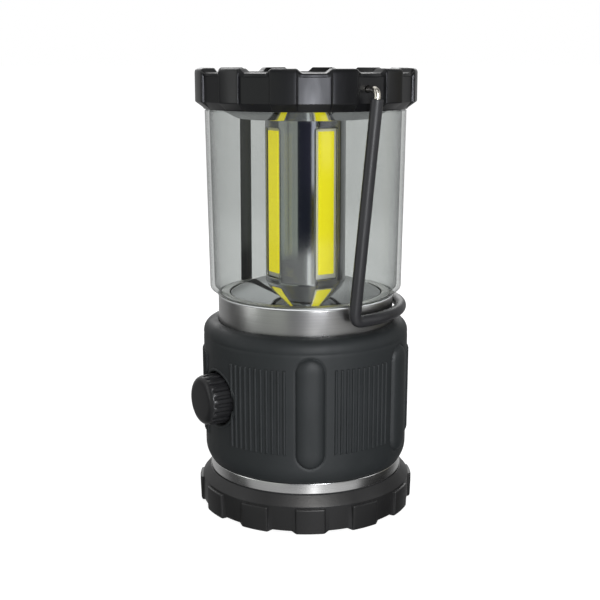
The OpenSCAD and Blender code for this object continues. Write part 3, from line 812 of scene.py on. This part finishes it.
DISH_R, DISH_T, DISH_FALL, DISH_TOP_Z = (19.2, 36.2), 1.2, 6, 110.2
FLANGE_TOP_Z, FLANGE_UNDER_Z = 103.7, 103.65


def dome_points(under, count):
    """The domed reflector's profile in mm, or the profile that lies under it by its thickness."""
    out = []
    for k in range(count + 1):
        t = k / count
        r = DISH_R[0] + t * (DISH_R[1] - DISH_R[0])
        out.append((r, DISH_TOP_Z - DISH_FALL * (0.42 * t + 0.58 * t * t) - under))
    return out


dress(
    turned(
        "lower_dish",
        dome_points(0, 48) + [(DISH_R[1] + 0.1, FLANGE_UNDER_Z), (DISH_R[1] - 0.8, FLANGE_UNDER_Z)]
        + dome_points(DISH_T, 12)[::-1][2:],
        None, 256, 30,
    ),
    CHROME, "mirror_chrome", "lantern_body", "lower_reflector",
)
RING_R, RING_TOP_Z = (36.75, 40.9), 104.6
dress(
    turned(
        "dish_ring",
        [(RING_R[0], FLANGE_TOP_Z), (RING_R[0], RING_TOP_Z),
         (RING_R[1], RING_TOP_Z), (RING_R[1], FLANGE_TOP_Z)],
        [0, 0.3, 0.3, 0], 256, 30,
    ),
    SATIN, "mirror_chrome", "lantern_body",
)
crown_low, _ = span("upper_reflector")
crown_z = crown_low[2]
CROWN_R, CROWN_FLAT_R, CROWN_HOLE_R, CROWN_SHEET = 43.4, 32, 18, 1.15
dress(
    turned(
        "upper_dish",
        [(CROWN_HOLE_R, crown_z), (CROWN_FLAT_R, crown_z), (CROWN_R, 193.2), (CROWN_R, 196),
         (CROWN_R - 1, 196), (CROWN_R - 1, 194), (CROWN_FLAT_R - 0.2, crown_z + CROWN_SHEET),
         (CROWN_HOLE_R, crown_z + CROWN_SHEET)],
        [0, 3, 0.3, 0, 0, 0, 0, 0], 256, 30,
    ),
    CHROME, "mirror_chrome", "lantern_body", "upper_reflector",
)

column_low, column_high = span("led_column")
COLUMN_R = radius_of("led_column")
WINDOW_HALF, WINDOW_Z = 6.3, (112.4, 183.6)
WINDOW_CORNER = 1.2
WINDOW_COUNT = 4
COLUMN_BORE = 17.75
BEAD_WIDE, BEAD_PROUD, BEAD_SIDES = 0.42, 0.3, 10


def window_outline(half, z0, z1, corner, steps=6):
    """A rounded rectangle (sideways, height) in mm, anticlockwise."""
    out = []
    for cx, cz, a in ((half - corner, z0 + corner, -90), (half - corner, z1 - corner, 0),
                      (corner - half, z1 - corner, 90), (corner - half, z0 + corner, 180)):
        out += arc(cx, cz, corner, a, a + 90, steps)
    return out


def make_column():
    """The chrome tube with a window in front of each light strip."""
    made = turned(
        "light_column",
        [(COLUMN_BORE, column_low[2]), (COLUMN_R, column_low[2]), (COLUMN_R, column_high[2]),
         (COLUMN_BORE, column_high[2])],
        [0, 0.2, 0.25, 0], 256,
    )
    cutters = []
    for k in range(WINDOW_COUNT):
        outline = window_outline(WINDOW_HALF, *WINDOW_Z, WINDOW_CORNER)
        n = len(outline)
        vertices = [(x * MM, s * MM, z * MM) for x in (16.0, 22.0) for s, z in outline]
        faces = [tuple(range(n))[::-1], tuple(range(n, 2 * n))]
        faces += [(i, (i + 1) % n, n + (i + 1) % n, n + i) for i in range(n)]
        cutter = mesh_object("window", vertices, faces)
        cutter.data.transform(Matrix.Rotation(radians(90 * k), 4, "Z"))
        cutters.append(cutter)
    cut(made, *cutters)
    smooth_again(made, 30)
    return dress(made, CHROME, "mirror_chrome", "lantern_body", "led_column")


make_column()


def make_window_rims():
    """The rolled edge of each window: a low bead that follows the round column."""
    bead_turns = np.arange(BEAD_SIDES) * 2 * pi / BEAD_SIDES
    corner = WINDOW_CORNER + 0.2
    long_edge = []
    outline = window_outline(WINDOW_HALF, *WINDOW_Z, corner, 6)
    for i, p in enumerate(outline):
        q = outline[(i + 1) % len(outline)]
        n = max(1, int(np.hypot(q[0] - p[0], q[1] - p[1]) / 1.5))
        long_edge += [(p[0] + (q[0] - p[0]) * k / n, p[1] + (q[1] - p[1]) * k / n) for k in range(n)]
    vertices, faces = [], []
    count = len(long_edge)
    for w in range(WINDOW_COUNT):
        base = len(vertices)
        for i, (s, z) in enumerate(long_edge):
            a, b = long_edge[i - 1], long_edge[(i + 1) % count]
            side = np.array((b[1] - a[1], a[0] - b[0]))
            side /= max(np.linalg.norm(side), 1e-9)
            turn = asin(s / COLUMN_R) + radians(90 * w)
            out = np.array((cos(turn), sin(turn), 0))
            across = np.array((-sin(turn), cos(turn), 0)) * side[0] + np.array((0, 0, side[1]))
            middle = out * COLUMN_R + np.array((0, 0, z))
            for t in bead_turns:
                vertices.append((middle + BEAD_WIDE * cos(t) * across + BEAD_PROUD * sin(t) * out) * MM)
        m = BEAD_SIDES
        for i in range(count):
            for j in range(m):
                i2, j2 = (i + 1) % count, (j + 1) % m
                faces.append((base + i * m + j, base + i2 * m + j, base + i2 * m + j2, base + i * m + j2))
    return dress(mesh_object("window_rims", vertices, faces, 60), CHROME, "mirror_chrome", "lantern_body")


make_window_rims()

# ------------------------------------------------------------------ bail

WIRE_R, BOW_R = 1.5, 2.8
CORNER_X, HOOK_START = 57.5, 45.0
BOW_CENTRE_Y, BOW_HALF, BOW_Z = -3.6, 48.85, 98.5
BOW_END_Y = -5.2
SLEEVE_START = 4


def bail_leg(sign):
    """The top corner of a leg, its lower end and the direction between them, in metres."""
    corner = np.array((sign * CORNER_X, 0, PIVOT_Z)) * MM
    end_x = sqrt(BOW_HALF**2 - (BOW_END_Y - BOW_CENTRE_Y) ** 2)
    end = np.array((sign * end_x, BOW_END_Y, BOW_Z)) * MM
    return corner, end, (end - corner) / np.linalg.norm(end - corner)


def make_bail():
    hooks = []
    for sign in (-1, 1):
        corner, _, leg = bail_leg(sign)
        path = bent([(sign * HOOK_START * MM, 0, PIVOT_Z * MM), corner, corner + 9 * MM * leg],
                    [0, 3.4 * MM, 0], 0.8 * MM)
        hooks.append(tube("hook", path, WIRE_R * MM, 20, 0.3 * MM))
    join(hooks, "wire_hooks")
    dress(hooks[0], WIRE, "plated_steel", "bail", "bail_hooks")

    corners = []
    for sign in (1, -1):
        corner, end, leg = bail_leg(sign)
        corners.append((corner + SLEEVE_START * MM * leg, end))
    circle = []
    for t in np.radians(np.arange(10, 170.1, 4)):
        circle.append((BOW_HALF * cos(t) * MM, (BOW_CENTRE_Y + BOW_HALF * sin(t)) * MM, BOW_Z * MM))
    points = [corners[0][0], corners[0][1], *circle, corners[1][1], corners[1][0]]
    radii = [0, 5.5 * MM] + [0] * len(circle) + [5.5 * MM, 0]
    path = bent(points, radii, 1.6 * MM)
    # extra points close to the two ends, where the tube's edge is rounded
    first, final = path[1] - path[0], path[-2] - path[-1]
    first, final = first / np.linalg.norm(first), final / np.linalg.norm(final)
    steps = np.array([0.0, 0.05, 0.15, 0.3, 0.5]) * MM
    near_first = [path[0] + s * first for s in steps]
    near_final = [path[-1] + s * final for s in steps[::-1]]
    path = np.vstack([near_first, path[1:-1], near_final])
    made = tube("bail_tube", path, BOW_R * MM, 24, 0.5 * MM)
    dress(made, BAIL, "black_plastic", "bail", "bail_bow")


def join(objects, name):
    """Joins meshes into the first of them."""
    bm = bmesh.new()
    for o in objects:
        bm.from_mesh(o.data)
    bm.to_mesh(objects[0].data)
    bm.free()
    objects[0].name = name
    for o in objects[1:]:
        bpy.data.objects.remove(o)


make_bail()

# ------------------------------------------------------------------ CAD nodes that stay

slots = {s["node"]: s["material_slot"] for s in frame["record"]["subparts"]}
for node, obj in frame["nodes"].items():
    if not obj.hide_render:
        obj.data.materials.clear()
        obj.data.materials.append(SLOT_LOOKS[slots[node]])

# ------------------------------------------------------------------ which light falls on what


def link_lights(name, lights, pieces, state):
    """Keeps the pieces out of the lights (EXCLUDE), or lets the lights fall only on them (INCLUDE)."""
    group = bpy.data.collections.new(name)
    for piece in pieces:
        group.objects.link(bpy.data.objects[piece])
    for item in group.collection_objects:
        item.light_linking.link_state = state
    for light in lights:
        light.light_linking.receiver_collection = group


MIRRORS_AND_GLOBE = ["clear_globe", "light_column", "window_rims", "lower_dish", "upper_dish"]
link_lights("mirrors_and_globe", room_lights, MIRRORS_AND_GLOBE, "EXCLUDE")
link_lights("main_leaves_out", [main_light], [*MIRRORS_AND_GLOBE, "cap"], "EXCLUDE")
link_lights("front_leaves_out", [front_light],
            [*MIRRORS_AND_GLOBE, "cap", "neck", "band", "screw_base"], "EXCLUDE")
link_lights("cap_pieces", [cap_light], ["cap"], "INCLUDE")
link_lights("base_pieces", [base_light], ["screw_base"], "INCLUDE")

# ------------------------------------------------------------------ floor and surroundings

FLOOR_R, FLOOR_SIDES = 40, 96  # metres
floor_mesh = bpy.data.meshes.new("floor")
floor_turns = [2 * pi * k / FLOOR_SIDES for k in range(FLOOR_SIDES)]
floor_rim = [(FLOOR_R * cos(t), FLOOR_R * sin(t), 0) for t in floor_turns]
floor_mesh.from_pydata(floor_rim, [], [tuple(range(FLOOR_SIDES))])
floor = bpy.data.objects.new("floor", floor_mesh)
scene.collection.objects.link(floor)
floor_look = Shader("floor")
floor_mottle = floor_look.spread(floor_look.noise(3, 3.0), 0, 1)
floor_look.set(
    Base_Color=floor_look.blend(floor_mottle, (0.32, 0.32, 0.32), (0.34, 0.34, 0.34)),
    Roughness=0.9,
    Emission_Color=(1, 1, 1, 1),
    Emission_Strength=0.88,
)
floor_mesh.materials.append(floor_look.material)

floor.visible_glossy = False
floor.visible_diffuse = False


def studio_world():
    """White behind the object, and dark and bright walls of a room for what shines on it."""
    world = bpy.data.worlds.new("studio")
    world.use_nodes = True
    world.cycles.sampling_method = "NONE"
    scene.world = world
    tree = world.node_tree
    background = tree.nodes["Background"]
    coords = tree.nodes.new("ShaderNodeTexCoord")
    turn = tree.nodes.new("ShaderNodeMapping")
    turn.inputs["Rotation"].default_value = (0, 0, radians(-CAMERA_AZIMUTH))
    tree.links.new(coords.outputs["Generated"], turn.inputs["Vector"])
    # the angle around the horizon, 0.5 towards the camera's side and growing to its right
    wall = tree.nodes.new("ShaderNodeTexGradient")
    wall.gradient_type = "RADIAL"
    tree.links.new(turn.outputs["Vector"], wall.inputs["Vector"])
    apart = tree.nodes.new("ShaderNodeSeparateXYZ")
    tree.links.new(coords.outputs["Generated"], apart.inputs["Vector"])

    def ramp(source, stops, smooth="LINEAR"):
        r = tree.nodes.new("ShaderNodeValToRGB")
        r.color_ramp.interpolation = smooth
        elements = r.color_ramp.elements
        while len(elements) > 1:
            elements.remove(elements[0])
        for k, (place, colour) in enumerate(stops):
            e = elements[0] if k == 0 else elements.new(place)
            e.position = place
            e.color = (*colour, 1) if isinstance(colour, tuple) else (colour, colour, colour, 1)
        tree.links.new(source, r.inputs["Fac"])
        return r.outputs["Color"]

    def mix(factor, one, other):
        m = tree.nodes.new("ShaderNodeMix")
        m.data_type = "RGBA"
        tree.links.new(factor, m.inputs["Factor"])
        tree.links.new(one, m.inputs[6])
        tree.links.new(other, m.inputs[7])
        return m.outputs[2]

    def stops(rows):
        return [(0.5 + degrees / 360, colour) for degrees, colour in rows]

    walls = ramp(wall.outputs["Color"], stops(LOW_WALL))
    upper = ramp(wall.outputs["Color"], stops(HIGH_WALL))
    height = tree.nodes.new("ShaderNodeMath")
    height.operation = "MULTIPLY_ADD"
    height.inputs[1].default_value = 0.5
    height.inputs[2].default_value = 0.5
    tree.links.new(apart.outputs["Z"], height.inputs[0])
    rise = ramp(height.outputs[0], [(0.45, 0.0), (0.47, 1.0)], "EASE")
    low = ramp(height.outputs[0], [(0.388, 1.0), (0.401, 0.0)], "EASE")
    ground = ramp(wall.outputs["Color"], stops(GROUND))
    sky = ramp(height.outputs[0], [(0.55, 0.0), (0.75, 1.0)], "EASE")
    ceiling = ramp(wall.outputs["Color"], stops(CEILING))
    room = mix(sky, mix(low, mix(rise, walls, upper), ground), ceiling)
    path = tree.nodes.new("ShaderNodeLightPath")
    white = ramp(height.outputs[0], [(0.0, 1.0), (1.0, 1.0)])
    tree.links.new(mix(path.outputs["Is Camera Ray"], room, white), background.inputs["Color"])


# colours of the room around the horizon: degrees to the right of the camera's side, colour
NAVY = (0.030, 0.034, 0.050)
LOW_WALL = [
    (-180, 0.5), (-130, 0.35), (-110, 0.10), (-84, 0.12), (-80, (0.5, 0.54, 0.5)), (-53, (0.5, 0.54, 0.5)),
    (-50, 0.3), (-47, (0.52, 0.56, 0.5)), (-24, (0.58, 0.62, 0.55)), (-21, NAVY), (15, NAVY),
    (24, (0.05, 0.05, 0.06)), (34, (0.11, 0.10, 0.05)), (60, 0.10), (95, 0.2), (112, (0.22, 0.20, 0.12)),
    (118, 0.04), (124, 0.25), (150, 0.45), (180, 0.5),
]
HIGH_WALL = [
    (-180, 0.6), (-130, 0.35), (-110, 0.12), (-84, 0.14), (-80, (0.54, 0.56, 0.52)), (-53, (0.54, 0.56, 0.52)),
    (-50, 0.32), (-47, (0.55, 0.57, 0.53)), (-24, (0.58, 0.6, 0.55)), (-21, NAVY), (15, (0.05, 0.05, 0.08)),
    (19, (0.9, 0.9, 1.1)), (27, (1.0, 1.0, 1.15)), (31, 0.14), (60, 0.16), (95, 0.3),
    (112, (0.22, 0.20, 0.12)), (118, 0.05), (124, 0.3), (150, 0.5), (180, 0.6),
]
GROUND = [
    (-180, 0.5), (-130, 0.3), (-100, 0.05), (-80, 0.03), (-68, 0.32), (-30, 0.36), (-8, 0.38), (3, 0.6),
    (7, 1.6), (12, 1.6), (18, 0.7), (40, 0.5), (62, 0.42), (74, 0.04), (110, 0.01), (130, 0.1),
    (150, 0.4), (180, 0.5),
]
CEILING = [
    (-180, 1.0), (-150, 1.0), (-120, 0.9), (-100, 0.6), (-60, 0.2), (-20, 0.2), (0, 0.25), (12, 0.3),
    (25, 0.2), (50, 0.1), (90, 0.1), (130, 0.3), (160, 0.6), (180, 1.0),
]
studio_world()
